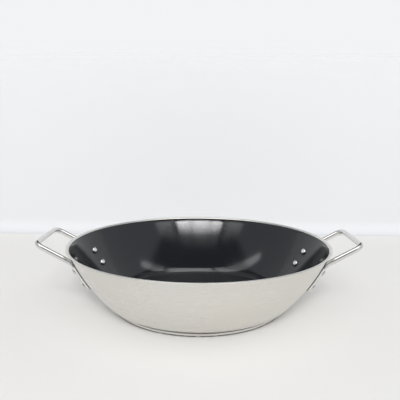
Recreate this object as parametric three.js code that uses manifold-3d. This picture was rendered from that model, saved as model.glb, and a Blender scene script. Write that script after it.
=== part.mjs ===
// A two-handled wok: a drawn steel bowl with a dark non-stick lining, a sandwich base for the hob,
// and two bent-rod handles whose flattened ends are riveted through the wall.
// Millimetres, +Z up. The origin is on the table, under the middle of the base.
// The handles stand at +X and -X, and the side towards -Y is called the front.
import * as THREE from "three";
import { mergeVertices, toCreasedNormals } from "three/addons/utils/BufferGeometryUtils.js";
import Module from "manifold-3d";

const wasm = await Module();
wasm.setup();

// Bowl
const RIM_RADIUS = 180; // inside of the wall where the lip begins to turn out
const RIM_HEIGHT = 90; // table to the top of the lip
const STEEL = 1.0; // bowl sheet
const FLOOR_RADIUS = 112; // flat of the bowl's underside
const CORNER_RADIUS = 30; // underside radius between the flat and the wall
const WALL_ARC_RADIUS = 235; // outside radius of the gently curved wall
const LIP_FLARE = 1.5; // radius under the lip that turns it level
const LIP_REACH = 4.7; // from the wall's inside at the rim to the lip's outer edge

// Non-stick lining, drawn thicker than the real coat so that it is a solid
const LINING = 0.4;

// Sandwich base
const BASE_HEIGHT = 5.0; // table to the bowl's underside
const CAP_RADIUS = 120;
const CAP_STEEL = 0.8;
const CAP_EDGE_RADIUS = 1.8; // rounded foot of the cap
const CAP_SEAM = 0.6; // open line between the cap's top edge and the bowl

// Handles
const ROD = 7.4; // rod diameter
const HANDLE_WIDTH = 96.5; // between the centre lines of the two legs
const HANDLE_STANDOFF = 37.7; // rim to the centre line of the grip
const HANDLE_RISE = 7.0; // grip's centre line above the rim
const LEG_SLOPE = THREE.MathUtils.degToRad(28.5); // legs climb outwards
const GRIP_BEND = 11; // centre-line radius of the two grip corners
const TAB_WIDTH = 10.5; // flattened rod
const TAB_THICKNESS = 5.0;
const TAB_TAIL = 9.5; // lower rivet to the round end of the tab
const TAB_SHOULDER = 0.5; // flat left above the upper rivet's outer head, before the bend

// Rivets
const RIVET_DROP = 27.5; // upper rivet below the rim, measured on the wall's outside
const RIVET_PITCH = 22; // upper to lower rivet along the wall
const SHANK = 5.0;
const INNER_HEAD = 10.2; // diameters of the two heads, and how far they stand up
const INNER_HEAD_HEIGHT = 2.9;
const OUTER_HEAD = 8.4;
const OUTER_HEAD_HEIGHT = 2.2;

// Clearances
const SEAT_GAP = 0.3; // between pieces that bear on each other
const HEAD_GAP = 0.45; // under the inner rivet heads, where the lining curves up to meet them
const HOLE_CLEARANCE = 0.3; // round each rivet shank

// Facets
const ROUND = 60; // segments round the bowl
const WALL_STEPS = 6;
const CORNER_STEPS = 4;
const EDGE_STEPS = 3; // small rounded edges, and each rivet head
const RIVET_ROUND = 10;
const ROD_SIDES = 12;
const CREASE = THREE.MathUtils.degToRad(35);

const steelBrushed = new THREE.MeshStandardMaterial({ color: 0xc9c6bf, metalness: 1, roughness: 0.32 });
const steelPolished = new THREE.MeshStandardMaterial({ color: 0xd6d6d4, metalness: 1, roughness: 0.14 });
const aluminium = new THREE.MeshStandardMaterial({ color: 0xb9babc, metalness: 1, roughness: 0.45 });
const nonStick = new THREE.MeshStandardMaterial({ color: 0x27282b, metalness: 0, roughness: 0.28 });

// Solids

function solidOf(geometry) {
  const bare = geometry.clone();
  for (const name of ["normal", "uv"]) bare.deleteAttribute(name);
  const merged = mergeVertices(bare, 1e-4);
  return new wasm.Manifold(
    new wasm.Mesh({
      numProp: 3,
      vertProperties: new Float32Array(merged.attributes.position.array),
      triVerts: new Uint32Array(merged.index.array),
    }),
  );
}

function geometryOf(solid) {
  const mesh = solid.getMesh();
  const geometry = new THREE.BufferGeometry();
  geometry.setAttribute("position", new THREE.BufferAttribute(mesh.vertProperties, 3));
  geometry.setIndex(new THREE.BufferAttribute(mesh.triVerts, 1));
  return toCreasedNormals(geometry, CREASE);
}

function cut(geometry, cutters) {
  return geometryOf(cutters.reduce((solid, cutter) => solid.subtract(cutter), solidOf(geometry)));
}

function namedMesh(name, geometry, material) {
  const mesh = new THREE.Mesh(geometry, material);
  mesh.name = name;
  return mesh;
}

// A profile of radius and height, turned about Z. It runs up the outside and back down the inside.
function turned(points, segments) {
  return new THREE.LatheGeometry(points, segments).rotateX(Math.PI / 2);
}

// Points along part of a circle, or of an ellipse when its height is given too.
function arc(centre, radius, from, to, steps, height = radius) {
  return new THREE.EllipseCurve(centre.x, centre.y, radius, height, from, to, to < from).getPoints(steps);
}

// The bowl's meridian: flat underside, corner arc and wall arc, each tangent to the next, and the lip's
// flare arc tangent to the wall. All the arcs share their centres, so any offset keeps the gauge even.

const cornerCentre = new THREE.Vector2(FLOOR_RADIUS, BASE_HEIGHT + CORNER_RADIUS);
const flareCentre = new THREE.Vector2(RIM_RADIUS + STEEL + LIP_FLARE, RIM_HEIGHT - STEEL - LIP_FLARE);
const wallCentre = wallArcCentre();
const cornerEndAngle = Math.atan2(cornerCentre.y - wallCentre.y, cornerCentre.x - wallCentre.x);
const rimAngle = Math.atan2(flareCentre.y - wallCentre.y, flareCentre.x - wallCentre.x);

// The centre whose circle holds the corner arc inside it and just touches the flare arc from within.
function wallArcCentre() {
  const toCorner = WALL_ARC_RADIUS - CORNER_RADIUS;
  const toFlare = WALL_ARC_RADIUS + LIP_FLARE;
  const span = flareCentre.clone().sub(cornerCentre);
  const distance = span.length();
  const along = (toCorner ** 2 - toFlare ** 2 + distance ** 2) / (2 * distance);
  const across = Math.sqrt(toCorner ** 2 - along ** 2);
  const unit = span.divideScalar(distance);
  return new THREE.Vector2(
    cornerCentre.x + along * unit.x - across * unit.y,
    cornerCentre.y + along * unit.y + across * unit.x,
  );
}

// Points from the axis up to the rim, on the face that lies depth inside the bowl's outer face.
function meridian(depth) {
  return [
    new THREE.Vector2(0, BASE_HEIGHT + depth),
    ...arc(cornerCentre, CORNER_RADIUS - depth, -Math.PI / 2, cornerEndAngle, CORNER_STEPS),
    ...arc(wallCentre, WALL_ARC_RADIUS - depth, cornerEndAngle, rimAngle, WALL_STEPS).slice(1),
  ];
}

// The lip: up round the flare on the underside, round its edge, and back along the top.
function lipPoints() {
  const edgeRadius = STEEL / 2;
  const edgeCentre = new THREE.Vector2(RIM_RADIUS + LIP_REACH - edgeRadius, RIM_HEIGHT - edgeRadius);
  const start = rimAngle + Math.PI;
  return [
    ...arc(flareCentre, LIP_FLARE, start, Math.PI / 2, EDGE_STEPS).slice(1),
    ...arc(edgeCentre, edgeRadius, -Math.PI / 2, Math.PI / 2, EDGE_STEPS),
    ...arc(flareCentre, LIP_FLARE + STEEL, Math.PI / 2, start, EDGE_STEPS).slice(0, -1),
  ];
}

// Rivets sit square to the wall. Each has a seat: the point on the wall's outside and the wall's normal.

const legOffset = HANDLE_WIDTH / 2;
const upperRivetAngle = Math.asin((RIM_HEIGHT - RIVET_DROP - wallCentre.y) / WALL_ARC_RADIUS);
const rivetAngles = { upper: upperRivetAngle, lower: upperRivetAngle - RIVET_PITCH / WALL_ARC_RADIUS };

// A point that stands out from the wall by that much, at a meridian angle and at that Y, with its normal.
function onWall(angle, y, out) {
  const radius = wallCentre.x + (WALL_ARC_RADIUS + out) * Math.cos(angle);
  const height = wallCentre.y + (WALL_ARC_RADIUS + out) * Math.sin(angle);
  const x = Math.sqrt(radius ** 2 - y ** 2);
  const flat = Math.cos(angle) / radius;
  return {
    point: new THREE.Vector3(x, y, height),
    normal: new THREE.Vector3(flat * x, flat * y, Math.sin(angle)),
  };
}

const rivetSeats = [];
for (const [level, angle] of Object.entries(rivetAngles)) {
  for (const leg of [-1, 1]) rivetSeats.push({ level, leg, ...onWall(angle, leg * legOffset, 0) });
}

const innerSeat = -(STEEL + SEAT_GAP + LINING + HEAD_GAP); // under the inner head, along the normal
const outerSeat = SEAT_GAP + TAB_THICKNESS + SEAT_GAP; // under the outer head
const axisUp = new THREE.Vector3(0, 0, 1);

function rivetGeometry() {
  const inner = new THREE.Vector2(0, innerSeat);
  const outer = new THREE.Vector2(0, outerSeat);
  const outline = [
    ...arc(inner, INNER_HEAD / 2, -Math.PI / 2, 0, EDGE_STEPS, INNER_HEAD_HEIGHT),
    new THREE.Vector2(SHANK / 2, innerSeat),
    new THREE.Vector2(SHANK / 2, outerSeat),
    ...arc(outer, OUTER_HEAD / 2, 0, Math.PI / 2, EDGE_STEPS, OUTER_HEAD_HEIGHT),
  ];
  return turned(outline, RIVET_ROUND);
}

function placeOnSeat(object, seat) {
  object.position.copy(seat.point);
  object.quaternion.setFromUnitVectors(axisUp, seat.normal);
  object.updateMatrix();
  return object;
}

// Drill solids for one side's four rivets, long enough to pass lining, wall and tab.
const drillLength = 4 * (outerSeat - innerSeat);
const drillGeometry = new THREE.CylinderGeometry(
  SHANK / 2 + HOLE_CLEARANCE,
  SHANK / 2 + HOLE_CLEARANCE,
  drillLength,
  RIVET_ROUND,
).rotateX(Math.PI / 2);

const rightDrills = rivetSeats.map((seat) => {
  const drill = placeOnSeat(new THREE.Object3D(), seat);
  return solidOf(drillGeometry.clone().applyMatrix4(drill.matrix));
});
const allDrills = [...rightDrills, ...rightDrills.map((drill) => drill.rotate([0, 0, 180]))];

// Handle: one rod, flat against the wall at each end. A station holds its place on the centre line,
// the direction its thickness is measured in, its half sizes and how square its section is.

const rodRadius = ROD / 2;
const legDirection = new THREE.Vector3(Math.cos(LEG_SLOPE), 0, Math.sin(LEG_SLOPE));
const loopNormal = new THREE.Vector3(Math.sin(LEG_SLOPE), 0, -Math.cos(LEG_SLOPE));
const gripX = RIM_RADIUS + HANDLE_STANDOFF;
const gripZ = RIM_HEIGHT + HANDLE_RISE;

function legPoint(x) {
  return new THREE.Vector3(x, -legOffset, gripZ - (gripX - x) * Math.tan(LEG_SLOPE));
}

// The rod's section, from 0 for the round rod to 1 for the flat tab.
function section(flatness) {
  const { lerp } = THREE.MathUtils;
  return {
    halfThickness: lerp(rodRadius, TAB_THICKNESS / 2, flatness),
    halfWidth: lerp(rodRadius, TAB_WIDTH / 2, flatness),
    square: lerp(2, 4, flatness),
  };
}

function onTab(angle) {
  return onWall(angle, -legOffset, SEAT_GAP + TAB_THICKNESS / 2);
}

// Where the tab's centre line, carried on up the wall, would cross the sloping leg's.
function kneeAngle() {
  let low = rivetAngles.lower;
  let high = rimAngle;
  for (let step = 0; step < 40; step += 1) {
    const middle = (low + high) / 2;
    const { point } = onTab(middle);
    if (point.z < legPoint(point.x).z) low = middle;
    else high = middle;
  }
  return low;
}

function frontHalfStations() {
  const stations = [];

  // Round end of the tab, then the flat past both rivets
  const tabEnd = rivetAngles.lower - TAB_TAIL / WALL_ARC_RADIUS;
  const flatStart = tabEnd + TAB_WIDTH / 2 / WALL_ARC_RADIUS;
  const flatEnd = rivetAngles.upper + (OUTER_HEAD / 2 + TAB_SHOULDER) / WALL_ARC_RADIUS;
  const flat = section(1);
  const endSteps = 4;
  for (let step = 0; step < endSteps; step += 1) {
    const turn = ((step + 0.4) / endSteps) * (Math.PI / 2);
    const angle = THREE.MathUtils.lerp(tabEnd, flatStart, 1 - Math.cos(turn));
    stations.push({ ...flat, ...onTab(angle), halfWidth: flat.halfWidth * Math.sin(turn) });
  }
  const flatSteps = 4;
  for (let step = 0; step < flatSteps; step += 1) {
    stations.push({ ...flat, ...onTab(THREE.MathUtils.lerp(flatStart, flatEnd, step / flatSteps)) });
  }

  // Bend away from the wall, where the flat becomes the round rod
  const bendStart = onTab(flatEnd);
  const knee = onTab(kneeAngle()).point;
  const legStart = knee.clone().addScaledVector(legDirection, knee.distanceTo(bendStart.point));
  const bend = new THREE.QuadraticBezierCurve3(bendStart.point, knee, legStart);
  const bendSteps = 8;
  for (let step = 0; step <= bendSteps; step += 1) {
    const share = step / bendSteps;
    const point = bend.getPoint(share);
    const normal = bendStart.normal.clone().lerp(loopNormal, share).normalize();
    stations.push({ ...section(1 - THREE.MathUtils.smoothstep(share, 0, 1)), point, normal });
  }

  // Grip corner, turning in the plane of the loop, up to the straight grip
  const cornerStart = legPoint(gripX).addScaledVector(legDirection, -GRIP_BEND);
  const cornerMiddle = cornerStart.clone().setY(GRIP_BEND - legOffset);
  const cornerSteps = 6;
  for (let step = 0; step <= cornerSteps; step += 1) {
    const turn = (step / cornerSteps) * (Math.PI / 2);
    const point = cornerMiddle.clone().addScaledVector(legDirection, GRIP_BEND * Math.sin(turn));
    point.y -= GRIP_BEND * Math.cos(turn);
    stations.push({ ...section(0), point, normal: loopNormal });
  }
  return stations;
}

function mirrored(station) {
  const flip = new THREE.Vector3(1, -1, 1);
  return { ...station, point: station.point.clone().multiply(flip), normal: station.normal.clone().multiply(flip) };
}

// Joins rings of points, one at each station, and closes the two ends.
function loft(stations, sides) {
  const positions = [];
  const last = stations.length - 1;
  stations.forEach((station, i) => {
    const before = stations[Math.max(i - 1, 0)].point;
    const after = stations[Math.min(i + 1, last)].point;
    const tangent = after.clone().sub(before).normalize();
    const normal = station.normal.clone().addScaledVector(tangent, -station.normal.dot(tangent)).normalize();
    const across = tangent.clone().cross(normal);
    for (let side = 0; side < sides; side += 1) {
      const turn = ((side + 0.5) / sides) * 2 * Math.PI;
      const point = station.point
        .clone()
        .addScaledVector(normal, station.halfThickness * roundedSquare(Math.cos(turn), station.square))
        .addScaledVector(across, station.halfWidth * roundedSquare(Math.sin(turn), station.square));
      positions.push(...point.toArray());
    }
  });
  const index = [];
  for (let ring = 0; ring < last; ring += 1) {
    for (let side = 0; side < sides; side += 1) {
      const a = ring * sides + side;
      const b = ring * sides + ((side + 1) % sides);
      index.push(a, b, b + sides, a, b + sides, a + sides);
    }
  }
  for (let side = 1; side < sides - 1; side += 1) {
    index.push(0, side + 1, side);
    index.push(last * sides, last * sides + side, last * sides + side + 1);
  }
  const geometry = new THREE.BufferGeometry();
  geometry.setAttribute("position", new THREE.Float32BufferAttribute(positions, 3));
  geometry.setIndex(index);
  return geometry;
}

// A cosine or sine flattened so that 2 gives a circle and more gives a rounded square.
function roundedSquare(value, square) {
  return Math.sign(value) * Math.abs(value) ** (2 / square);
}

function handleGeometry() {
  const front = frontHalfStations();
  const rear = front.map(mirrored).reverse();
  return cut(loft([...front, ...rear], ROD_SIDES), rightDrills);
}

// Bowl and lining

function bowlGeometry() {
  const outline = [...meridian(0), ...lipPoints(), ...meridian(STEEL).reverse()];
  return cut(turned(outline, ROUND), allDrills);
}

function liningGeometry() {
  const outside = STEEL + SEAT_GAP;
  const outline = [...meridian(outside), ...meridian(outside + LINING).reverse()];
  return cut(turned(outline, ROUND), allDrills);
}

// Base: an aluminium disc held between the bowl's underside and a pressed steel cap

function capGeometry() {
  const edge = CAP_STEEL / 2;
  const foot = new THREE.Vector2(CAP_RADIUS - CAP_EDGE_RADIUS, CAP_EDGE_RADIUS);
  const top = new THREE.Vector2(CAP_RADIUS - edge, BASE_HEIGHT - CAP_SEAM - edge);
  const outline = [
    new THREE.Vector2(0, 0),
    ...arc(foot, CAP_EDGE_RADIUS, -Math.PI / 2, 0, EDGE_STEPS),
    ...arc(top, edge, 0, Math.PI, EDGE_STEPS),
    new THREE.Vector2(CAP_RADIUS - CAP_STEEL, CAP_EDGE_RADIUS),
    new THREE.Vector2(foot.x, CAP_STEEL),
    new THREE.Vector2(0, CAP_STEEL),
  ];
  return turned(outline, ROUND);
}

function coreGeometry() {
  const bottom = CAP_STEEL + SEAT_GAP;
  const top = BASE_HEIGHT - SEAT_GAP;
  const radius = CAP_RADIUS - CAP_STEEL - SEAT_GAP;
  const bevel = CAP_EDGE_RADIUS - CAP_STEEL;
  const points = [
    [0, bottom],
    [radius - bevel, bottom],
    [radius, bottom + bevel],
    [radius, top],
    [0, top],
  ];
  return turned(points.map(([x, y]) => new THREE.Vector2(x, y)), ROUND);
}

// Assembly

const wok = new THREE.Group();
wok.add(
  namedMesh("bowl", bowlGeometry(), steelBrushed),
  namedMesh("nonstick_lining", liningGeometry(), nonStick),
  namedMesh("base_core", coreGeometry(), aluminium),
  namedMesh("base_cap", capGeometry(), steelBrushed),
);

const handle = handleGeometry();
const rivet = rivetGeometry();
for (const [side, turn] of [["right", 0], ["left", Math.PI]]) {
  const group = new THREE.Group();
  group.rotation.z = turn;
  group.add(namedMesh(`handle_${side}`, handle, steelPolished));
  for (const seat of rivetSeats) {
    const towardsFront = seat.leg * Math.cos(turn) < 0;
    const name = `rivet_${side}_${towardsFront ? "front" : "rear"}_${seat.level}`;
    group.add(placeOnSeat(namedMesh(name, rivet, steelPolished), seat));
  }
  wok.add(group);
}

export default wok;
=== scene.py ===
"""Looks of a two-handled wok: satin steel bowl, dark non-stick lining, sandwich base, polished rod
handles and rivets, on a pale sweep lit by a window.

Laid out as an add-on and run as a script. Metres, +Z up, origin on the table under the base.
"""

import math

import bmesh
import bpy
from mathutils import Matrix, Vector


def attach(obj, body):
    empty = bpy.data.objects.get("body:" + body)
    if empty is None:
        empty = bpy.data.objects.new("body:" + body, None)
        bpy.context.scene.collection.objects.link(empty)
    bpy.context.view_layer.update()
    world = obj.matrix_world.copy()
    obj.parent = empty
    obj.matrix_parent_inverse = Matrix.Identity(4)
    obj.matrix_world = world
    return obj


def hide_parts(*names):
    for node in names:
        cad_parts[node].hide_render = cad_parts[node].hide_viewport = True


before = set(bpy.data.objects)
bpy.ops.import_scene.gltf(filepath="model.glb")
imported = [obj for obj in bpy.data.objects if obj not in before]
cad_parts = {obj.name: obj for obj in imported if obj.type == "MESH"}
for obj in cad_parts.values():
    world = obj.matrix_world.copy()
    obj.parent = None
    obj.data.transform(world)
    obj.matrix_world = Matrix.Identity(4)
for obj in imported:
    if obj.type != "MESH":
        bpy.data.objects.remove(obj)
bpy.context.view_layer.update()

bl_info = {
    "name": "Wok",
    "version": (1, 0, 0),
    "blender": (4, 5, 0),
    "location": "View3D > Sidebar > Wok",
    "description": "Builds a two-handled non-stick wok and its stage",
    "category": "Object",
}

BODY = "root"

# Mesh fineness
ROUND_STEPS = 240
ROD_SIDES = 36
RIVET_ROUND = 40
WALL_STEPS = 28
CORNER_STEPS = 14
EDGE_STEPS = 8
SHARP_ANGLE = math.radians(38)
ON_AXIS = 1e-9


def length(name, default, description):
    return bpy.props.FloatProperty(
        name=name, description=description, default=default, min=0, precision=5, unit="LENGTH"
    )


def angle(name, degrees, description):
    return bpy.props.FloatProperty(
        name=name, description=description, default=math.radians(degrees), subtype="ANGLE"
    )


def amount(name, default, description):
    return bpy.props.FloatProperty(name=name, description=description, default=default, precision=4)


def colour(name, default, description):
    return bpy.props.FloatVectorProperty(
        name=name, description=description, default=default, size=3, min=0, max=1, subtype="COLOR"
    )


# Sizes and colours


class WokBowlSizes(bpy.types.PropertyGroup):
    rim_radius: length("Rim radius", 0.180, "Inside of the wall where the lip begins to turn out")
    rim_height: length("Rim height", 0.090, "Table to the top of the lip")
    sheet: length("Sheet", 0.0010, "Thickness of the bowl's steel")
    floor_radius: length("Floor radius", 0.112, "Flat of the bowl's underside")
    corner_radius: length("Corner radius", 0.030, "Underside radius between floor and wall")
    wall_arc_radius: length("Wall arc radius", 0.235, "Outside radius of the curved wall")
    lip_flare: length("Lip flare", 0.0015, "Radius under the lip that turns it level")
    lip_reach: length("Lip reach", 0.0047, "Wall's inside at the rim to the lip's edge")
    lining_depth: length("Lining depth", 0.0017, "Bowl's outer face to the lining's inner face")
    lining_feather: length("Lining feather", 0.0005, "Where the coat thins out at the rim")


class WokBaseSizes(bpy.types.PropertyGroup):
    height: length("Base height", 0.0050, "Table to the bowl's underside")
    cap_radius: length("Cap radius", 0.120, "Outside of the cap")
    cap_sheet: length("Cap sheet", 0.0008, "Thickness of the cap's steel")
    cap_edge: length("Cap edge", 0.0018, "Rounded foot of the cap")
    seam: length("Seam", 0.0006, "Open line between the cap's top edge and the bowl")


class WokHandleSizes(bpy.types.PropertyGroup):
    rod: length("Rod", 0.0074, "Rod diameter")
    width: length("Width", 0.0965, "Between the centre lines of the legs")
    standoff: length("Standoff", 0.0377, "Rim to the centre line of the grip")
    rise: length("Rise", 0.0070, "Grip's centre line above the rim")
    slope: angle("Slope", 28.5, "Climb of the legs outwards")
    grip_bend: length("Grip bend", 0.011, "Centre-line radius of the grip corners")
    tab_width: length("Tab width", 0.0105, "Width of the flattened rod")
    tab_thickness: length("Tab thickness", 0.0050, "Thickness of the flattened rod")
    tab_tail: length("Tab tail", 0.0095, "Lower rivet to the end of the tab")
    tab_shoulder: length("Tab shoulder", 0.0005, "Flat above the upper rivet's outer head")
    seat_gap: length("Seat gap", 0.0003, "Between the tab and the wall")


class WokRivetSizes(bpy.types.PropertyGroup):
    drop: length("Drop", 0.0275, "Upper rivet below the rim")
    pitch: length("Pitch", 0.022, "Upper to lower rivet along the wall")
    shank: length("Shank", 0.0050, "Shank diameter")
    inner_head: length("Inner head", 0.0102, "Diameter of the head inside the bowl")
    inner_height: length("Inner height", 0.0029, "How far the inner head stands up")
    inner_seat: length("Inner seat", 0.00215, "Wall's outer face to the inner head's underside")
    outer_head: length("Outer head", 0.0084, "Diameter of the head on the tab")
    outer_height: length("Outer height", 0.0022, "How far the outer head stands up")
    outer_seat: length("Outer seat", 0.0056, "Wall's outer face to the outer head's underside")
    skirt: length("Skirt", 0.0005, "Straight rim of each head, down onto its seat")


class WokFinishes(bpy.types.PropertyGroup):
    steel: colour("Satin steel", (0.735, 0.72, 0.695), "Bowl and base")
    polish: colour("Polished steel", (0.74, 0.73, 0.715), "Handles and rivets")
    coat: colour("Coat", (0.0068, 0.0075, 0.0095), "Non-stick lining")
    core: colour("Core", (0.76, 0.76, 0.77), "Aluminium of the base core")
    floor: colour("Floor", (0.80, 0.787, 0.765), "Floor under the wok")
    backdrop: colour("Backdrop", (0.630, 0.638, 0.646), "Upright wall behind the wok")
    back_room: colour("Back room", (0.885, 0.900, 0.917), "Room above the backdrop")


class WokStage(bpy.types.PropertyGroup):
    camera_place: bpy.props.FloatVectorProperty(
        name="Camera place",
        description="Where the camera stands",
        default=(0.0009, -0.6797, 0.2574),
        size=3,
        subtype="TRANSLATION",
    )
    camera_pitch: angle("Camera pitch", 8.96, "How far the camera looks down")
    camera_roll: bpy.props.FloatProperty(
        name="Camera roll", description="Tilt of the camera", default=0.007, subtype="ANGLE"
    )
    lens: amount("Lens", 43.91, "Focal length in millimetres on a 36 mm sensor")
    backdrop: length("Backdrop", 0.46, "Middle of the wok to the upright backdrop")
    cove: length("Cove", 0.030, "Radius where the floor turns up into the backdrop")
    window_gloss: amount("Window gloss", 19.0, "Brightness of the window in the dark lining")
    rim_gloss: amount("Rim gloss", 1.0, "Brightness of the window in the bowl's satin steel")
    strip_gloss: amount("Strip gloss", 2.9, "Brightness of the long lamps in the dark lining")
    spill_gloss: amount("Spill gloss", 0.28, "Brightness of the ceiling beyond the long lamps")
    box_gloss: amount("Soft box gloss", 1.65, "Brightness of the soft box overhead in the steel")
    front_light: amount("Front light", 300.0, "Power of the lamp in front, in watts")
    key_light: amount("Key light", 36.0, "Power of the lamp overhead, in watts")
    left_light: amount("Left light", 0.66, "Brightness of the room to the left")
    right_light: amount("Right light", 0.74, "Brightness of the room to the right")
    horizon_light: amount("Horizon light", 0.78, "Brightness of the room low down")
    ceiling_light: amount("Ceiling light", 0.13, "Brightness of the room overhead")


# Curves


def arc(centre, radius, start, end, steps):
    """Points on part of a circle."""
    turns = [start + (end - start) * i / steps for i in range(steps + 1)]
    return [(centre[0] + radius * math.cos(t), centre[1] + radius * math.sin(t)) for t in turns]


def circle(radius, height, steps):
    """Points on a level circle round the Z axis."""
    turns = [2 * math.pi * i / steps for i in range(steps)]
    return [(radius * math.cos(t), radius * math.sin(t), height) for t in turns]


def eased(share):
    """From 0 to 1 with a soft start and a soft end."""
    return share * share * (3 - 2 * share)


def rounded_square(value, square):
    """Pushes a sine or cosine outwards: 2 keeps the circle, more makes it squarer."""
    return math.copysign(abs(value) ** (2 / square), value)


class WallCurve:
    """The bowl's meridian: floor, corner arc, wall arc and lip flare, each tangent to the next."""

    def __init__(self, bowl, base):
        self.bowl = bowl
        self.base_height = base.height
        self.corner = Vector((bowl.floor_radius, base.height + bowl.corner_radius))
        self.flare = Vector(
            (
                bowl.rim_radius + bowl.sheet + bowl.lip_flare,
                bowl.rim_height - bowl.sheet - bowl.lip_flare,
            )
        )
        self.radius = bowl.wall_arc_radius
        to_corner = self.radius - bowl.corner_radius
        to_flare = self.radius + bowl.lip_flare
        span = self.flare - self.corner
        along = (to_corner**2 - to_flare**2 + span.length_squared) / (2 * span.length)
        across = math.sqrt(to_corner**2 - along**2)
        unit = span.normalized()
        self.centre = self.corner + along * unit + across * Vector((-unit.y, unit.x))
        self.start = math.atan2(*(self.corner - self.centre).yx)
        self.end = math.atan2(*(self.flare - self.centre).yx)

    def meridian(self, depth):
        """From the axis up to the rim, on the face that lies depth inside the outer face."""
        corner_radius = self.bowl.corner_radius - depth
        corner = arc(self.corner, corner_radius, -math.pi / 2, self.start, CORNER_STEPS)
        wall = arc(self.centre, self.radius - depth, self.start, self.end, WALL_STEPS)
        return [(0, self.base_height + depth)] + corner + wall[1:]

    def lip(self):
        """Up round the flare on the underside, round the edge, and back along the top."""
        bowl = self.bowl
        edge = bowl.sheet / 2
        edge_centre = (bowl.rim_radius + bowl.lip_reach - edge, bowl.rim_height - edge)
        turn = self.end + math.pi
        under = arc(self.flare, bowl.lip_flare, turn, math.pi / 2, EDGE_STEPS)
        tip = arc(edge_centre, edge, -math.pi / 2, math.pi / 2, EDGE_STEPS)
        top = arc(self.flare, bowl.lip_flare + bowl.sheet, math.pi / 2, turn, EDGE_STEPS)
        return under[1:] + tip + top[:-1]

    def on_wall(self, turn, y, out):
        """A point that far out from the wall, at that Y, and the wall's normal there."""
        radius = self.centre.x + (self.radius + out) * math.cos(turn)
        height = self.centre.y + (self.radius + out) * math.sin(turn)
        x = math.sqrt(radius**2 - y**2)
        flat = math.cos(turn) / radius
        return Vector((x, y, height)), Vector((flat * x, flat * y, math.sin(turn)))

    def rivet_turns(self, rivets):
        upper = math.asin((self.bowl.rim_height - rivets.drop - self.centre.y) / self.radius)
        return {"upper": upper, "lower": upper - rivets.pitch / self.radius}


# Meshes


def add_object(name, bm, closed=True):
    if closed:
        bmesh.ops.recalc_face_normals(bm, faces=bm.faces)
    mesh = bpy.data.meshes.new(name)
    bm.to_mesh(mesh)
    bm.free()
    mesh.shade_smooth()
    mesh.set_sharp_from_angle(angle=SHARP_ANGLE)
    piece = bpy.data.objects.new(name, mesh)
    bpy.context.scene.collection.objects.link(piece)
    return piece


def turned(name, outline, segments):
    """A profile of radius and height, from the axis back to the axis, turned about Z."""
    bm = bmesh.new()
    rings = []
    for radius, height in outline:
        if radius < ON_AXIS:
            rings.append([bm.verts.new((0, 0, height))] * segments)
            continue
        rings.append([bm.verts.new(point) for point in circle(radius, height, segments)])
    for low, high in zip(rings, rings[1:]):
        for i in range(segments):
            j = (i + 1) % segments
            corners = [low[i], low[j], high[j], high[i]]
            bm.faces.new(list(dict.fromkeys(corners)))
    return add_object(name, bm)


def lofted(name, stations, sides):
    """Joins a ring at each station (point, normal, half thickness, half width, squareness)."""
    bm = bmesh.new()
    rings = []
    last = len(stations) - 1
    for i, (point, normal, thick, wide, square) in enumerate(stations):
        tangent = (stations[min(i + 1, last)][0] - stations[max(i - 1, 0)][0]).normalized()
        normal = (normal - tangent * normal.dot(tangent)).normalized()
        across = tangent.cross(normal)
        ring = []
        for side in range(sides):
            turn = (side + 0.5) / sides * 2 * math.pi
            ring.append(
                bm.verts.new(
                    point
                    + normal * thick * rounded_square(math.cos(turn), square)
                    + across * wide * rounded_square(math.sin(turn), square)
                )
            )
        rings.append(ring)
    for low, high in zip(rings, rings[1:]):
        for i in range(sides):
            j = (i + 1) % sides
            bm.faces.new((low[i], low[j], high[j], high[i]))
    bm.faces.new(list(reversed(rings[0])))
    bm.faces.new(rings[-1])
    return add_object(name, bm)


def dress(piece, finish, slot, *nodes):
    """Finishes a piece, puts it on the body and hides the parts of the model it stands for; the
    slot is not used.
    """
    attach(piece, BODY)
    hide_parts(*nodes)
    piece.data.materials.append(finish)


# Details of the finishes

BROAD_DETAIL = 2.0
FINE_DETAIL = 3.0
RING_GRAIN = {"Scale": 1.0, "Detail": 4.0}
BAND_GRAIN = {"Scale": 0.06, "Detail": BROAD_DETAIL}
SMUDGE_RANGE = (0.30, 0.75)
SMUDGE_WARMTH = (1.0, 0.996, 0.965)
SCRATCH_LEAN = (0.4, 0.9, 0.7)
SCRATCH_STRETCH = (1.0, 0.06, 0.35)
SCRATCH_WIDTH = 0.012
LINE_CORE = 0.6
LINE_BREAKS_PER_METRE = 120.0
LINE_BREAK_RANGE = (0.28, 0.45)

BOWL_FINISH = {"rings": 3200.0, "roughness": 0.27, "relief": 8e-7, "contrast": 0.004}
BASE_FINISH = {"rings": 600.0, "roughness": 0.24, "relief": 2.5e-5, "contrast": 0.18}
CORE_FINISH = {"rings": 1200.0, "roughness": 0.42, "relief": 6e-6, "contrast": 0.05}
SATIN_BREAKS = 4.0
SATIN_MARKS = {"Smudges per metre": 9.0, "Scratches per metre": 60.0}
SATIN_SPREAD = 0.012
SATIN_DULLING = 0.01
SATIN_SCRATCH = 0.03
# How dark the lines of painted shade make the steel
LINE_SHADE_LEVEL = 0.18

HANDLE_ROUGHNESS = 0.05
# Painted shade on the handle tabs: how far from the wall it reaches
HANDLE_WALL_SHADE_REACH = (0.0027, 0.0016)
RIVET_ROUGHNESS = 0.06
POLISH_MARKS = {"Smudges per metre": 70.0, "Scratches per metre": 240.0}
POLISH_DULL_SHADE = 0.86
POLISH_DULL_SHARE = 0.5
POLISH_SPREAD = 0.05
POLISH_SCRATCH = 0.15
POLISH_BUMP = {"Strength": 0.15, "Distance": 0.00002}
# How dark the painted shade next to the wall makes the steel
WALL_SHADE_LEVEL = 0.16

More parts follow.
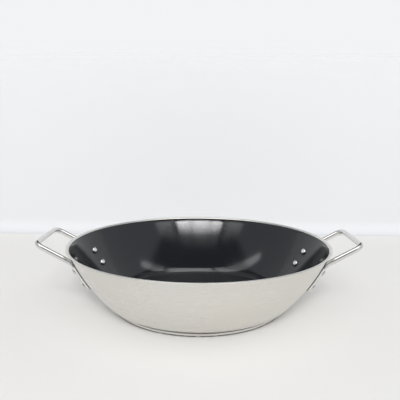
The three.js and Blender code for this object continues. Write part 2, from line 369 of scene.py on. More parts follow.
COAT_PEEL_PER_METRE = 900.0
COAT_PEEL_SPREAD = 0.01
COAT_SPECKS_PER_METRE = 700.0
COAT_SPECK_SIZE = (0.14, 0.05)
COAT_SPECK_SHADE = 3.2
COAT_SPECK_SHARE = 0.35
COAT_MARKS = {"Smudges per metre": 18.0, "Scratches per metre": 45.0}
COAT_RINGS = {"Rings per metre": 900.0, "Breaks": 2.0}
COAT_ROUGHNESS = (0.11, 0.14)
COAT_WORN_EDGE = 0.010
COAT_WORN_DULLING = 0.20
COAT_BAND_SHARE = 0.6
COAT_SCRATCH_SHARE = 0.5
COAT_BUMP = {"Strength": 0.10, "Distance": 0.00004}

# Sockets of the mix node that carry colours
MIX_COLOURS = (6, 7)
MIX_RESULT = 2


# Shader helpers


def feed(tree, node, inputs):
    """Links or sets a node's inputs."""
    for key, value in inputs.items():
        if isinstance(value, bpy.types.NodeSocket):
            tree.links.new(value, node.inputs[key])
        else:
            node.inputs[key].default_value = value


def add_node(tree, kind, inputs=None, **settings):
    made = tree.nodes.new(kind)
    for key, value in settings.items():
        setattr(made, key, value)
    feed(tree, made, inputs or {})
    return made


def math_node(tree, operation, *values):
    made = add_node(tree, "ShaderNodeMath", dict(enumerate(values)), operation=operation)
    return made.outputs[0]


def times(tree, first, second):
    return math_node(tree, "MULTIPLY", first, second)


def vector_node(tree, operation, *values):
    """Vector maths: a length or a distance comes out as a value, the rest as a vector."""
    made = add_node(tree, "ShaderNodeVectorMath", dict(enumerate(values)), operation=operation)
    return made.outputs["Value" if operation in {"LENGTH", "DISTANCE"} else "Vector"]


def object_place(tree):
    """Where a point is, in metres in the wok's own frame."""
    return add_node(tree, "ShaderNodeTexCoord").outputs["Object"]


def axes_of(tree, vector):
    return add_node(tree, "ShaderNodeSeparateXYZ", {0: vector}).outputs


def flattened(tree, place):
    return vector_node(tree, "MULTIPLY", place, (1.0, 1.0, 0.0))


def axis_distance(tree, place):
    """How far a point is from the bowl's upright axis."""
    return vector_node(tree, "LENGTH", flattened(tree, place))


def noise(tree, place, scale, detail):
    inputs = {"Vector": place, "Scale": scale, "Detail": detail}
    return add_node(tree, "ShaderNodeTexNoise", inputs).outputs[0]


def map_range(tree, value, low, high):
    """Carries 0 to 1 over to low to high."""
    inputs = {"Value": value, "To Min": low, "To Max": high}
    return add_node(tree, "ShaderNodeMapRange", inputs).outputs["Result"]


def ramp(tree, value, start, end, shape="LINEAR"):
    """Rises evenly from 0 at start to 1 at end."""
    inputs = {"Value": value, "From Min": start, "From Max": end}
    made = add_node(tree, "ShaderNodeMapRange", inputs, interpolation_type=shape)
    return made.outputs["Result"]


def soft_step(tree, value, start, end):
    """Rises smoothly from 0 at start to 1 at end."""
    return ramp(tree, value, start, end, "SMOOTHSTEP")


def blend_colours(tree, share, *colours):
    made = add_node(tree, "ShaderNodeMix", {"Factor": share}, data_type="RGBA")
    for key, value in zip(MIX_COLOURS, colours):
        feed(tree, made, {key: value if isinstance(value, bpy.types.NodeSocket) else (*value, 1)})
    return made.outputs[MIX_RESULT]


def scaled(values, factor):
    return tuple(value * factor for value in values)


def placed_group(tree, name, values, outputs, fill):
    """Places a shader node group of values, which is filled the first time it is asked for."""
    group = bpy.data.node_groups.get(name)
    if not group:
        group = bpy.data.node_groups.new(name, "ShaderNodeTree")
        for key in values:
            group.interface.new_socket(key, in_out="INPUT", socket_type="NodeSocketFloat")
        for key in outputs:
            group.interface.new_socket(key, in_out="OUTPUT", socket_type="NodeSocketFloat")
        entry, leave = group.nodes.new("NodeGroupInput"), group.nodes.new("NodeGroupOutput")
        feed(group, leave, dict(zip(outputs, fill(group, entry.outputs))))
    return add_node(tree, "ShaderNodeGroup", values, node_tree=group).outputs


def spun_lines(tree, values):
    """Fine rings left by spinning and brushing a round piece, and broad bands, with breaks."""

    def fill(group, entry):
        place = object_place(group)
        flat = flattened(group, place)
        around = {0: vector_node(group, "NORMALIZE", flat), "Scale": entry["Breaks"]}
        spread = add_node(group, "ShaderNodeVectorMath", around, operation="SCALE").outputs[0]
        ring = times(group, vector_node(group, "LENGTH", flat), entry["Rings per metre"])
        level = times(group, axes_of(group, place)["Z"], entry["Rings per metre"])
        lifted = add_node(group, "ShaderNodeCombineXYZ", {"Z": ring}).outputs[0]
        spot = {"Vector": vector_node(group, "ADD", spread, lifted), "W": level}
        return [
            add_node(group, "ShaderNodeTexNoise", spot | grain, noise_dimensions="4D").outputs[0]
            for grain in (RING_GRAIN, BAND_GRAIN)
        ]

    return placed_group(tree, "spun_lines", values, ["Lines", "Bands"], fill)


def handling_marks(tree, values):
    """Marks of use: broad smudges that dull the shine, and sparse fine scratches."""

    def fill(group, entry):
        place = object_place(group)
        smudge = noise(group, place, entry["Smudges per metre"], BROAD_DETAIL)
        smudge = soft_step(group, smudge, *SMUDGE_RANGE)
        turn = {"Vector": place, "Rotation": SCRATCH_LEAN, "Scale": SCRATCH_STRETCH}
        stretched = add_node(group, "ShaderNodeMapping", turn).outputs[0]
        cells = {"Vector": stretched, "Scale": entry["Scratches per metre"]}
        edges = add_node(group, "ShaderNodeTexVoronoi", cells, feature="DISTANCE_TO_EDGE")
        scratch = ramp(group, edges.outputs["Distance"], SCRATCH_WIDTH, 0.0)
        return smudge, times(group, scratch, smudge)

    return placed_group(tree, "handling_marks", values, ["Smudge", "Scratch"], fill)


def shade_line_mask(tree, values):
    """Painted shade: a dark line at one height and outside one radius, broken here and there."""

    def fill(group, entry):
        place = object_place(group)
        away = math_node(group, "SUBTRACT", axes_of(group, place)["Z"], entry["Height"])
        away = math_node(group, "ABSOLUTE", away)
        share = math_node(group, "DIVIDE", away, entry["Half width"])
        outside = math_node(group, "GREATER_THAN", axis_distance(group, place), entry["Inside"])
        line = times(group, soft_step(group, share, 1.0, LINE_CORE), outside)
        line_breaks = noise(group, place, LINE_BREAKS_PER_METRE, FINE_DETAIL)
        return [times(group, line, ramp(group, line_breaks, *LINE_BREAK_RANGE))]

    return placed_group(tree, "shade_line_mask", values, ["Line"], fill)["Line"]


# Materials


def new_material(name):
    material = bpy.data.materials.new(name)
    material.use_nodes = True
    tree = material.node_tree
    return material, tree, tree.nodes["Principled BSDF"]


def spun_steel(name, tint, rings, roughness, relief, contrast, joints=()):
    """Metal finished in fine rings about the bowl's axis, with lines of painted shade where asked.
    """
    material, tree, shader = new_material(name)
    ring = spun_lines(tree, {"Rings per metre": rings, "Breaks": SATIN_BREAKS})["Lines"]
    marks = handling_marks(tree, SATIN_MARKS)
    warm = [part * level for part, level in zip(tint, SMUDGE_WARMTH)]
    hollows, ridges = (
        blend_colours(tree, marks["Smudge"], scaled(tint, level), scaled(warm, level))
        for level in (1 - contrast, 1 + contrast)
    )
    finish = blend_colours(tree, ring, hollows, ridges)
    for shaded_line in joints:
        # Painted shade: each line darkens the steel's colour
        finish = blend_colours(tree, shade_line_mask(tree, shaded_line), finish, scaled(tint, LINE_SHADE_LEVEL))
    rough = map_range(tree, ring, roughness - SATIN_SPREAD, roughness + SATIN_SPREAD)
    rough = math_node(tree, "ADD", rough, times(tree, marks["Smudge"], SATIN_DULLING))
    height = math_node(tree, "SUBTRACT", ring, times(tree, marks["Scratch"], SATIN_SCRATCH))
    depth = {"Height": height, "Strength": 1.0, "Distance": relief}
    normal = add_node(tree, "ShaderNodeBump", depth).outputs[0]
    looks = {"Base Color": finish, "Roughness": rough, "Metallic": 1.0, "Normal": normal}
    feed(tree, shader, looks)
    return material


def wall_distance(tree, curve):
    """How far a point stands out from the bowl's wall."""
    place = object_place(tree)
    section = {"X": axis_distance(tree, place), "Y": axes_of(tree, place)["Z"]}
    meridian = add_node(tree, "ShaderNodeCombineXYZ", section).outputs[0]
    reach = vector_node(tree, "DISTANCE", meridian, (curve.centre.x, curve.centre.y, 0.0))
    return math_node(tree, "SUBTRACT", reach, curve.radius)


def polished_steel(name, tint, roughness, curve=None):
    """Mirror-like steel with smudges and hair scratches, with painted shade next to the wall if
    asked.
    """
    material, tree, shader = new_material(name)
    marks = handling_marks(tree, POLISH_MARKS)
    dulled = times(tree, marks["Smudge"], POLISH_DULL_SHARE)
    finish = blend_colours(tree, dulled, tint, scaled(tint, POLISH_DULL_SHADE))
    if curve:
        # Painted shade: the steel darkens close to the wall, where the tab sits
        wall_shade_share = soft_step(tree, wall_distance(tree, curve), *HANDLE_WALL_SHADE_REACH)
        finish = blend_colours(tree, wall_shade_share, finish, scaled(tint, WALL_SHADE_LEVEL))
    worn = math_node(tree, "ADD", times(tree, marks["Scratch"], POLISH_SCRATCH), marks["Smudge"])
    rough = map_range(tree, worn, roughness, roughness + POLISH_SPREAD)
    depth = POLISH_BUMP | {"Height": marks["Scratch"]}
    normal = add_node(tree, "ShaderNodeBump", depth, invert=True).outputs[0]
    looks = {"Base Color": finish, "Roughness": rough, "Metallic": 1.0, "Normal": normal}
    feed(tree, shader, looks)
    return material


def nonstick_coat(name, tint, floor_radius):
    """Sprayed dark coat with a faint orange-peel skin, specks and scuffs, dulled on the floor."""
    material, tree, shader = new_material(name)
    place = object_place(tree)
    peel = noise(tree, place, COAT_PEEL_PER_METRE, FINE_DETAIL)
    cells = {"Vector": place, "Scale": COAT_SPECKS_PER_METRE}
    speck = add_node(tree, "ShaderNodeTexVoronoi", cells).outputs["Distance"]
    flecks = times(tree, ramp(tree, speck, *COAT_SPECK_SIZE), COAT_SPECK_SHARE)
    finish = blend_colours(tree, flecks, tint, scaled(tint, COAT_SPECK_SHADE))
    marks = handling_marks(tree, COAT_MARKS)
    worn = soft_step(tree, axis_distance(tree, place), floor_radius + COAT_WORN_EDGE, floor_radius)
    rough = map_range(tree, marks["Smudge"], *COAT_ROUGHNESS)
    peeled = map_range(tree, peel, -COAT_PEEL_SPREAD, COAT_PEEL_SPREAD)
    for extra in (peeled, times(tree, worn, COAT_WORN_DULLING)):
        rough = math_node(tree, "ADD", rough, extra)
    bands = spun_lines(tree, COAT_RINGS)["Bands"]
    relief = math_node(tree, "ADD", peel, times(tree, bands, COAT_BAND_SHARE))
    scratches = times(tree, marks["Scratch"], COAT_SCRATCH_SHARE)
    relief = math_node(tree, "SUBTRACT", relief, scratches)
    normal = add_node(tree, "ShaderNodeBump", COAT_BUMP | {"Height": relief}).outputs[0]
    feed(tree, shader, {"Base Color": finish, "Roughness": rough, "Normal": normal})
    return material


# Operators


class WOK_OT_bowl(bpy.types.Operator):
    """Builds the steel bowl with its turned-out lip"""

    bl_idname = "wok.bowl"
    bl_label = "Bowl"

    def execute(self, context):
        scene = context.scene
        curve = WallCurve(scene.wok_bowl, scene.wok_base)
        outline = curve.meridian(0) + curve.lip() + curve.meridian(scene.wok_bowl.sheet)[::-1]
        finish = spun_steel("bowl_satin_steel", scene.wok_finish.steel, **BOWL_FINISH)
        dress(turned("bowl_shell", outline, ROUND_STEPS), finish, "bowl_steel", "bowl")
        return {"FINISHED"}


class WOK_OT_lining(bpy.types.Operator):
    """Builds the dark non-stick lining, which thins out at the rim"""

    bl_idname = "wok.lining"
    bl_label = "Lining"

    back_share = 1.02
    rim_thickness = 0.12

    def execute(self, context):
        scene = context.scene
        bowl = scene.wok_bowl
        curve = WallCurve(bowl, scene.wok_base)
        inner = curve.meridian(bowl.lining_depth)
        outer = curve.meridian(bowl.sheet * self.back_share)
        rim = Vector(inner[-1])
        feathered = []
        for front, behind in zip(inner, outer):
            share = min((rim - Vector(front)).length / bowl.lining_feather, 1)
            thickness = self.rim_thickness + (1 - self.rim_thickness) * eased(share)
            feathered.append(tuple(Vector(behind).lerp(Vector(front), thickness)))
        coat = turned("lining_coat", outer + feathered[::-1], ROUND_STEPS)
        finish = nonstick_coat("dark_nonstick_coat", scene.wok_finish.coat, bowl.floor_radius)
        dress(coat, finish, "nonstick", "nonstick_lining")
        return {"FINISHED"}


class WOK_OT_base(bpy.types.Operator):
    """Builds the base cap and finishes the core that shows in the seam above it"""

    bl_idname = "wok.base"
    bl_label = "Base"

    foot_line = 0.0023

    def execute(self, context):
        scene = context.scene
        base = scene.wok_base
        rim = base.cap_sheet / 2
        foot = (base.cap_radius - base.cap_edge, base.cap_edge)
        top = (base.cap_radius - rim, base.height - base.seam - rim)
        inner_edge = base.cap_edge - base.cap_sheet
        outline = [(0, 0)]
        outline += arc(foot, base.cap_edge, -math.pi / 2, 0, EDGE_STEPS)
        outline += arc(top, rim, 0, math.pi, EDGE_STEPS)
        outline += arc(foot, inner_edge, 0, -math.pi / 2, EDGE_STEPS)
        outline += [(0, base.cap_sheet)]
        # Painted shade along the cap's foot, where it meets the table
        shaded_line = {"Height": 0.0, "Half width": self.foot_line, "Inside": foot[0]}
        tint = scene.wok_finish.steel
        finish = spun_steel("base_spun_steel", tint, joints=[shaded_line], **BASE_FINISH)
        dress(turned("base_cap_shell", outline, ROUND_STEPS), finish, "base_steel", "base_cap")
        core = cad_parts["base_core"]
        core.data.materials.clear()
        finish = spun_steel("core_turned_aluminium", scene.wok_finish.core, **CORE_FINISH)
        core.data.materials.append(finish)
        return {"FINISHED"}


class WOK_OT_handles(bpy.types.Operator):
    """Builds both rod handles, with their ends flattened against the wall"""

    bl_idname = "wok.handles"
    bl_label = "Handles"

    end_steps = 12
    end_start = 0.25
    end_thickness = 0.8
    flat_steps = 16
    knee_halvings = 40
    bend_steps = 22
    leg_steps = 8
    corner_steps = 18
    grip_steps = 10
    rod_square = 2
    tab_square = 4

    def execute(self, context):
        scene = context.scene
        curve = WallCurve(scene.wok_bowl, scene.wok_base)
        tint = scene.wok_finish.polish
        # The curve gives the handles painted shade next to the wall
        finish = polished_steel("handle_polished_steel", tint, HANDLE_ROUGHNESS, curve)
        front = self.front_half(scene)
        flip = Vector((1, -1, 1))
        rear = [(point * flip, normal * flip, *sizes) for point, normal, *sizes in reversed(front)]
        for side, turn in (("right", 0), ("left", math.pi)):
            piece = lofted(f"handle_rod_{side}", front + rear, ROD_SIDES)
            piece.data.transform(Matrix.Rotation(turn, 4, "Z"))
            dress(piece, finish, "handle_steel", f"handle_{side}")
        return {"FINISHED"}

    def section(self, handle, flatness):
        """Half thickness, half width and squareness, from 0 for the rod to 1 for the tab."""
        rod = handle.rod / 2
        thick = rod + (handle.tab_thickness / 2 - rod) * flatness
        wide = rod + (handle.tab_width / 2 - rod) * flatness
        return thick, wide, self.rod_square + (self.tab_square - self.rod_square) * flatness

    def front_half(self, scene):
        """Stations from the end of the front tab, up the wall and along the leg, to the grip."""
        bowl, handle, rivets = scene.wok_bowl, scene.wok_handle, scene.wok_rivet
        curve = WallCurve(bowl, scene.wok_base)
        radius = curve.radius
        leg_y = -handle.width / 2
        turns = curve.rivet_turns(rivets)
        forward = Vector((math.cos(handle.slope), 0, math.sin(handle.slope)))
        loop_normal = Vector((math.sin(handle.slope), 0, -math.cos(handle.slope)))
        grip = Vector((bowl.rim_radius + handle.standoff, leg_y, bowl.rim_height + handle.rise))

        def on_tab(turn):
            return curve.on_wall(turn, leg_y, handle.seat_gap + handle.tab_thickness / 2)

        stations = []
        tab_end = turns["lower"] - handle.tab_tail / radius
        flat_start = tab_end + handle.tab_width / 2 / radius
        flat_end = turns["upper"] + (rivets.outer_head / 2 + handle.tab_shoulder) / radius
        thick, wide, square = self.section(handle, 1)
        for step in range(self.end_steps):
            swing = (step + self.end_start) / self.end_steps * math.pi / 2
            turn = tab_end + (flat_start - tab_end) * (1 - math.cos(swing))
            full = self.end_thickness + (1 - self.end_thickness) * math.sin(swing)
            stations.append((*on_tab(turn), thick * full, wide * math.sin(swing), square))
        for step in range(self.flat_steps):
            turn = flat_start + (flat_end - flat_start) * step / self.flat_steps
            stations.append((*on_tab(turn), thick, wide, square))

        low, high = turns["lower"], curve.end
        for _ in range(self.knee_halvings):
            middle = (low + high) / 2
            point = on_tab(middle)[0]
            leg_height = grip.z - (grip.x - point.x) * math.tan(handle.slope)
            low, high = (middle, high) if point.z < leg_height else (low, middle)
        knee = on_tab(low)[0]
        bend_start, wall_normal = on_tab(flat_end)
        leg_start = knee + forward * (knee - bend_start).length
        for step in range(self.bend_steps + 1):
            share = step / self.bend_steps
            left = 1 - share
            point = bend_start * left**2 + knee * (2 * share * left) + leg_start * share**2
            normal = wall_normal.lerp(loop_normal, share).normalized()
            stations.append((point, normal, *self.section(handle, 1 - eased(share))))

        round_rod = self.section(handle, 0)
        corner_start = grip - forward * handle.grip_bend
        for step in range(1, self.leg_steps):
            point = leg_start.lerp(corner_start, step / self.leg_steps)
            stations.append((point, loop_normal, *round_rod))
        pivot = corner_start + Vector((0, handle.grip_bend, 0))
        for step in range(self.corner_steps + 1):
            swing = step / self.corner_steps * math.pi / 2
            point = pivot + forward * handle.grip_bend * math.sin(swing)
            point.y -= handle.grip_bend * math.cos(swing)
            stations.append((point, loop_normal, *round_rod))
        turned_in = stations[-1][0]
        for step in range(1, self.grip_steps):
            point = turned_in.copy()
            point.y *= 1 - step / self.grip_steps
            stations.append((point, loop_normal, *round_rod))
        return stations


class WOK_OT_rivets(bpy.types.Operator):
    """Builds the rivets that hold the handle tabs to the wall"""

    bl_idname = "wok.rivets"
    bl_label = "Rivets"

    dome_steps = 14
    shoulder = 2.5

    def execute(self, context):
        scene = context.scene
        rivets = scene.wok_rivet
        curve = WallCurve(scene.wok_bowl, scene.wok_base)
        finish = polished_steel("rivet_polished_steel", scene.wok_finish.polish, RIVET_ROUGHNESS)
        for level, turn in curve.rivet_turns(rivets).items():
            for side, spin in (("right", 0), ("left", math.pi)):
                for leg in (-1, 1):
                    point, normal = curve.on_wall(turn, leg * scene.wok_handle.width / 2, 0)
                    end = "front" if leg * math.cos(spin) < 0 else "rear"
                    node = f"rivet_{side}_{end}_{level}"
                    piece = turned(f"{node}_turned", self.outline(rivets), RIVET_ROUND)
                    facing = normal.to_track_quat("Z", "Y").to_matrix().to_4x4()
                    seat = Matrix.Translation(point) @ facing
                    piece.data.transform(Matrix.Rotation(spin, 4, "Z") @ seat)
                    dress(piece, finish, "rivet_steel", node)
        return {"FINISHED"}

    def outline(self, rivets):
        """From the inner head's crown to the outer head's, along the shank."""
        inner, outer = -rivets.inner_seat, rivets.outer_seat
        shank = rivets.shank / 2
        crown = self.dome(rivets.inner_head / 2, rivets.inner_height, inner, -1)
        tail = self.dome(rivets.outer_head / 2, rivets.outer_height, outer, 1)[::-1]
        skirts = [
            (rivets.inner_head / 2, inner + rivets.skirt),
            (shank, inner + rivets.skirt),
            (shank, outer - rivets.skirt),
            (rivets.outer_head / 2, outer - rivets.skirt),
        ]
        return crown + skirts + tail

    def dome(self, radius, height, seat, way):
        """From the crown to the edge of a head with full shoulders."""
        points = [(0, seat + way * height)]
        for step in range(1, self.dome_steps + 1):
            swing = step / self.dome_steps * math.pi / 2
            across = rounded_square(math.sin(swing), self.shoulder)
            up = rounded_square(math.cos(swing), self.shoulder)
            points.append((radius * across, seat + way * height * up))
        return points


class WOK_OT_stage(bpy.types.Operator):
    """Sets up the pale floor and backdrop, the window, the lamps, the room and the camera"""

    bl_idname = "wok.stage"
    bl_label = "Stage"

    sensor_width = 36.0
    floor_half = 4.0
    floor_opening = 0.95
    # Painted shade: the floor's colour darkens towards the back
    floor_far_shade = 0.92
    wall_height = 0.45
    wall_fade = (0.36, 0.44)
    cove_steps = 16
    paint_roughness = 0.7
    paint_gloss = 0.2
    paint_far = (0.0, 0.42)
    mottle_per_metre = 3.0
    mottle_shade = 0.985
    window_distance = 5.0
    window_half = 2.45
    window_edge = 0.06
    window_bars = (-1.17, 0.81)
    bar_edge = (0.08, 0.26)
    bar_shade = 0.5
    window_sill = (2.7, 3.15)
    window_fade = (5.8, 3.4)
    window_tail = (8.5, 5.0)
    tail_share = 0.045
    flank_half = 6.0
    flank_edge = (2.8, 3.3)
    flank_fade = (8.0, 2.5)
    flank_share = 0.15
    rim_box_foot = 3.3
    rim_box_gap = 0.05
    strip_height = 1.55
    spill_from = 0.4
    spill_reach = 1.8
    second_bounce = 1.5
    second_share = 0.35
    steel_box = (((-1.1, -1.7), (1.1, -1.7)), ((-1.1, 0.20), (1.1, 0.20)))
    strip_outlines = (
        (
            ((1.38, 0.20), (1.33, 0.33)),
            ((1.29, 0.10), (1.23, 0.27)),
            ((1.12, 0.00), (1.05, 0.18)),
            ((0.95, -0.06), (0.63, 0.44)),
            ((0.78, -0.14), (0.43, 0.52)),
        ),
        (
            ((0.64, -0.10), (0.29, 0.74)),
            ((0.50, 0.00), (0.18, 1.02)),
            ((0.30, 0.10), (0.10, 1.15)),
            ((0.12, 0.20), (0.04, 1.18)),
            ((-0.02, 0.21), (-0.01, 1.18)),
            ((-0.19, 0.11), (-0.07, 1.14)),
        ),
        (
            ((-0.27, 0.01), (-0.11, 1.05)),
            ((-0.46, -0.14), (-0.18, 0.88)),
            ((-0.67, -0.22), (-0.31, 0.68)),
            ((-0.82, -0.19), (-0.49, 0.45)),
            ((-0.99, -0.16), (-0.84, 0.14)),
            ((-1.16, -0.11), (-1.09, 0.10)),
            ((-1.36, -0.06), (-1.27, 0.15)),
            ((-1.54, 0.00), (-1.45, 0.19)),
            ((-1.62, 0.08), (-1.56, 0.19)),
        ),
    )
    soft_boxes = {
        "front": ((0.0, -5.0, 3.5), (2.2, 2.2)),
        "key": ((0.0, -1.5, 3.0), (4.0, 3.0)),
    }
    room_tint = (0.965, 1.0, 1.05)
    side_slope = 1.25
    side_edge = 0.08
    across_edge = 0.3
    back_edge = (0.3, 0.6)
    back_rise = 0.29
    front_edge = (-0.3, -0.6)
    front_drop = 0.12
    horizon_edge = (0.13, 0.05)

    def execute(self, context):
        scene = context.scene
        scene.view_settings.view_transform = "Standard"
        self.add_sweep(scene)
        self.add_window(scene)
        self.add_soft_boxes(scene)
        self.add_strip(scene)
        self.set_room(scene)
        self.add_camera(scene)
        return {"FINISHED"}

    def matt_paint(self, name, tint, far_shade=1.0, fade=None):
        """Matt paint, darker far back as painted shade, fading out upwards if asked.

        It is clear when the camera looks at its back, so that other views see past it.
        """
        material, tree, shader = new_material(name)
        place = object_place(tree)
        axes = axes_of(tree, place)
        mottle = noise(tree, place, self.mottle_per_metre, BROAD_DETAIL)
        mottled = blend_colours(tree, mottle, scaled(tint, self.mottle_shade), tint)
        # Painted shade: darker towards the back
        far = soft_step(tree, axes["Y"], *self.paint_far)
        painted = blend_colours(tree, far, mottled, scaled(tint, far_shade))
        looks = {"Roughness": self.paint_roughness, "Specular IOR Level": self.paint_gloss}
        feed(tree, shader, looks | {"Base Color": painted})
        seen = add_node(tree, "ShaderNodeLightPath").outputs["Is Camera Ray"]
        behind = add_node(tree, "ShaderNodeNewGeometry").outputs["Backfacing"]
        clear = add_node(tree, "ShaderNodeBsdfTransparent").outputs[0]
        share = times(tree, seen, behind)
        if fade:
            share = math_node(tree, "MAXIMUM", share, soft_step(tree, axes["Z"], *fade))
        mixed = add_node(tree, "ShaderNodeMixShader", {0: share, 1: shader.outputs[0], 2: clear})
        tree.links.new(mixed.outputs[0], tree.nodes["Material Output"].inputs["Surface"])
        return material

    def add_sweep(self, scene):
        """An upright backdrop, and a floor left open where the base hides it, to light the foot."""
        stage, finish = scene.wok_stage, scene.wok_finish
        half = self.floor_half
        bm = bmesh.new()
        under_base, edge = (
            [bm.verts.new(point) for point in circle(radius, 0, ROUND_STEPS)]
            for radius in (scene.wok_base.cap_radius * self.floor_opening, half * math.sqrt(2))
        )
        for i in range(ROUND_STEPS):
            bm.faces.new((under_base[i - 1], edge[i - 1], edge[i], under_base[i]))
        floor = add_object("floor", bm, closed=False)
        paint = self.matt_paint("floor_paint", finish.floor, far_shade=self.floor_far_shade)
        floor.data.materials.append(paint)
        bm = bmesh.new()
        front = stage.backdrop - stage.cove
        section = arc((front, stage.cove), stage.cove, -math.pi / 2, 0, self.cove_steps)
        section.append((stage.backdrop, self.wall_height))
        rows = [[bm.verts.new((x, y, z)) for x in (-half, half)] for y, z in section]
        for low, high in zip(rows, rows[1:]):
            bm.faces.new((low[0], low[1], high[1], high[0]))
        wall = add_object("backdrop", bm, closed=False)
        paint = self.matt_paint("backdrop_paint", finish.backdrop, fade=self.wall_fade)
        wall.data.materials.append(paint)

    def add_glow(self, name, quads, brightness, piece, state="INCLUDE", pattern=None):
        """Clear glowing panes that show in reflections, but not to the camera or on matt surfaces.

        Only the named piece mirrors them, or every piece but that one where the state is EXCLUDE.
        """
        material, tree, shader = new_material(name)
        if pattern:
            brightness = times(tree, pattern(tree), brightness)
        glow = add_node(tree, "ShaderNodeEmission", {"Strength": brightness}).outputs[0]
        clear = add_node(tree, "ShaderNodeBsdfTransparent").outputs[0]
        both = add_node(tree, "ShaderNodeAddShader", {0: glow, 1: clear}).outputs[0]
        tree.links.new(both, tree.nodes["Material Output"].inputs["Surface"])
        tree.nodes.remove(shader)
        bm = bmesh.new()
        for quad in quads:
            bm.faces.new([bm.verts.new(corner) for corner in quad])
        panes = add_object(name, bm, closed=False)
        panes.data.materials.append(material)
        panes.visible_camera = False
        panes.visible_diffuse = False
        panes.visible_shadow = False
        pieces = bpy.data.collections.new(f"{panes.name}_pieces")
        pieces.objects.link(bpy.data.objects[piece])
        pieces.collection_objects[0].light_linking.link_state = state
        panes.light_linking.receiver_collection = pieces

    def window_pattern(self, tree):
        """Panes between soft bars above a sill, with dim flanks, all fading out upwards."""
        axes = axes_of(tree, object_place(tree))
        across = math_node(tree, "ABSOLUTE", axes["X"])
        outer, inner = self.window_half + self.window_edge, self.window_half - self.window_edge
        panes = soft_step(tree, across, outer, inner)
        for bar in self.window_bars:
            away = math_node(tree, "ABSOLUTE", math_node(tree, "SUBTRACT", axes["X"], bar))
            beside = map_range(tree, soft_step(tree, away, *self.bar_edge), self.bar_shade, 1.0)
            panes = times(tree, panes, beside)
        flank = times(tree, soft_step(tree, across, *self.flank_edge), self.flank_share)
        flank = times(tree, flank, soft_step(tree, axes["Z"], *self.flank_fade))
        lower = times(tree, panes, soft_step(tree, axes["Z"], *self.window_fade))
        tail = times(tree, soft_step(tree, axes["Z"], *self.window_tail), self.tail_share)
        panes = math_node(tree, "MAXIMUM", lower, times(tree, tail, panes))
        sill = soft_step(tree, axes["Z"], *self.window_sill)
        return times(tree, math_node(tree, "ADD", panes, flank), sill)

    def upright_quad(self, y, low):
        half, top = self.flank_half, self.window_tail[0]
        return (-half, y, low), (half, y, low), (half, y, top), (-half, y, top)

    def add_window(self, scene):
        """The window as the lining mirrors it, and a plain pane there for the bowl's steel."""
        stage = scene.wok_stage
        quad = self.upright_quad(-self.window_distance, self.window_sill[0])
        pattern = self.window_pattern
        self.add_glow("window", [quad], stage.window_gloss, "lining_coat", pattern=pattern)
        quad = self.upright_quad(self.rim_box_gap - self.window_distance, self.rim_box_foot)
        self.add_glow("rim_soft_box", [quad], stage.rim_gloss, "bowl_shell")

    def add_soft_boxes(self, scene):
        """Area lamps that light matt surfaces and don't show in reflections."""
        stage = scene.wok_stage
        powers = {"front": stage.front_light, "key": stage.key_light}
        for name, (place, size) in self.soft_boxes.items():
            lamp = bpy.data.lights.new(f"{name}_light", "AREA")
            lamp.energy = powers[name]
            lamp.shape = "RECTANGLE"
            lamp.size, lamp.size_y = size
            box = bpy.data.objects.new(f"{name}_light", lamp)
            box.location = place
            box.rotation_euler = (-Vector(place)).to_track_quat("-Z", "Y").to_euler()
            box.visible_camera = False
            box.visible_glossy = False
            scene.collection.objects.link(box)

    def level_quads(self, edges):
        """Panes overhead between the near and the far points of a strip."""
        z = self.strip_height
        return [
            ((*near0, z), (*near1, z), (*far1, z), (*far0, z))
            for (near0, far0), (near1, far1) in zip(edges, edges[1:])
        ]

    def add_strip(self, scene):
        """The long lamps and the ceiling beyond them in the lining, and a soft box in the rest."""
        stage = scene.wok_stage
        quads = [quad for outline in self.strip_outlines for quad in self.level_quads(outline)]
        pattern = self.strip_pattern
        self.add_glow("strip_lamps", quads, stage.strip_gloss, "lining_coat", pattern=pattern)
        beyond = [
            (far, scaled(far, self.spill_reach))
            for outline in self.strip_outlines
            for _, far in outline
            if far[1] > self.spill_from
        ]
        quads = self.level_quads(beyond)
        self.add_glow("strip_spill", quads, stage.spill_gloss, "lining_coat")
        quads = self.level_quads(self.steel_box)
        self.add_glow("steel_soft_box", quads, stage.box_gloss, "lining_coat", state="EXCLUDE")

    def strip_pattern(self, tree):
        """Fainter where the lining mirrors itself."""
        depth = add_node(tree, "ShaderNodeLightPath").outputs["Ray Depth"]
        again = math_node(tree, "GREATER_THAN", depth, self.second_bounce)
        return map_range(tree, again, 1.0, self.second_share)

    def set_room(self, scene):
        """Pale low down and on both sides, paler above the backdrop, dim overhead.

        The pale band low down ends lower behind the camera.
        """
        stage = scene.wok_stage
        world = bpy.data.worlds.new("room")
        scene.world = world
        world.use_nodes = True
        tree = world.node_tree
        axes = axes_of(tree, add_node(tree, "ShaderNodeTexCoord").outputs["Generated"])
        sideways = times(tree, math_node(tree, "ABSOLUTE", axes["X"]), self.side_slope)
        lean = math_node(tree, "SUBTRACT", sideways, axes["Z"])
        to_side = soft_step(tree, lean, -self.side_edge, self.side_edge)
        to_right = soft_step(tree, axes["X"], -self.across_edge, self.across_edge)
        to_back = soft_step(tree, axes["Y"], *self.back_edge)
        to_front = soft_step(tree, axes["Y"], *self.front_edge)
        level = math_node(tree, "SUBTRACT", axes["Z"], times(tree, to_back, self.back_rise))
        level = math_node(tree, "ADD", level, times(tree, to_front, self.front_drop))
        to_horizon = soft_step(tree, level, *self.horizon_edge)
        lights = (stage.ceiling_light, stage.left_light, stage.right_light, stage.horizon_light)
        overhead, left, right, horizon = (scaled(self.room_tint, light) for light in lights)
        sides = blend_colours(tree, to_right, left, right)
        upper = blend_colours(tree, to_side, overhead, sides)
        lower = blend_colours(tree, to_back, horizon, scene.wok_finish.back_room)
        room = blend_colours(tree, to_horizon, upper, lower)
        tree.links.new(room, tree.nodes["Background"].inputs["Color"])

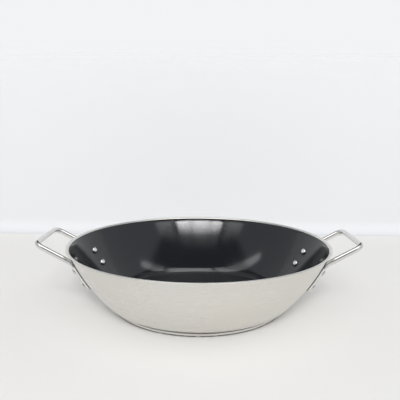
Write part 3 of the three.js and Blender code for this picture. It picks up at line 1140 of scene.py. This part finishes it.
    def add_camera(self, scene):
        stage = scene.wok_stage
        lens = bpy.data.cameras.new("photo_view")
        lens.sensor_width = self.sensor_width
        lens.lens = stage.lens
        camera = bpy.data.objects.new("photo_view", lens)
        level = Matrix.Rotation(math.pi / 2 - stage.camera_pitch, 4, "X")
        roll = Matrix.Rotation(stage.camera_roll, 4, "Z")
        camera.matrix_world = Matrix.Translation(stage.camera_place) @ level @ roll
        scene.collection.objects.link(camera)
        scene.camera = camera


class WOK_PT_panel(bpy.types.Panel):
    """Lists the wok's pieces and their sizes"""

    bl_label = "Wok"
    bl_idname = "WOK_PT_panel"
    bl_space_type = "VIEW_3D"
    bl_region_type = "UI"
    bl_category = "Wok"

    def draw(self, context):
        for group in GROUPS:
            box = self.layout.box()
            settings = getattr(context.scene, group)
            for key in settings.__annotations__:
                box.prop(settings, key)
        for operator in OPERATORS:
            self.layout.operator(operator.bl_idname)


GROUPS = {
    "wok_bowl": WokBowlSizes,
    "wok_base": WokBaseSizes,
    "wok_handle": WokHandleSizes,
    "wok_rivet": WokRivetSizes,
    "wok_finish": WokFinishes,
    "wok_stage": WokStage,
}
OPERATORS = [WOK_OT_bowl, WOK_OT_lining, WOK_OT_base, WOK_OT_handles, WOK_OT_rivets, WOK_OT_stage]


def register():
    for settings in GROUPS.values():
        bpy.utils.register_class(settings)
    for name, settings in GROUPS.items():
        setattr(bpy.types.Scene, name, bpy.props.PointerProperty(type=settings))
    for operator in OPERATORS:
        bpy.utils.register_class(operator)
    bpy.utils.register_class(WOK_PT_panel)


def unregister():
    bpy.utils.unregister_class(WOK_PT_panel)
    for operator in reversed(OPERATORS):
        bpy.utils.unregister_class(operator)
    for name, settings in GROUPS.items():
        delattr(bpy.types.Scene, name)
        bpy.utils.unregister_class(settings)


def main():
    register()
    bpy.ops.wok.bowl()
    bpy.ops.wok.lining()
    bpy.ops.wok.base()
    bpy.ops.wok.handles()
    bpy.ops.wok.rivets()
    bpy.ops.wok.stage()


if __name__ == "__main__":
    main()
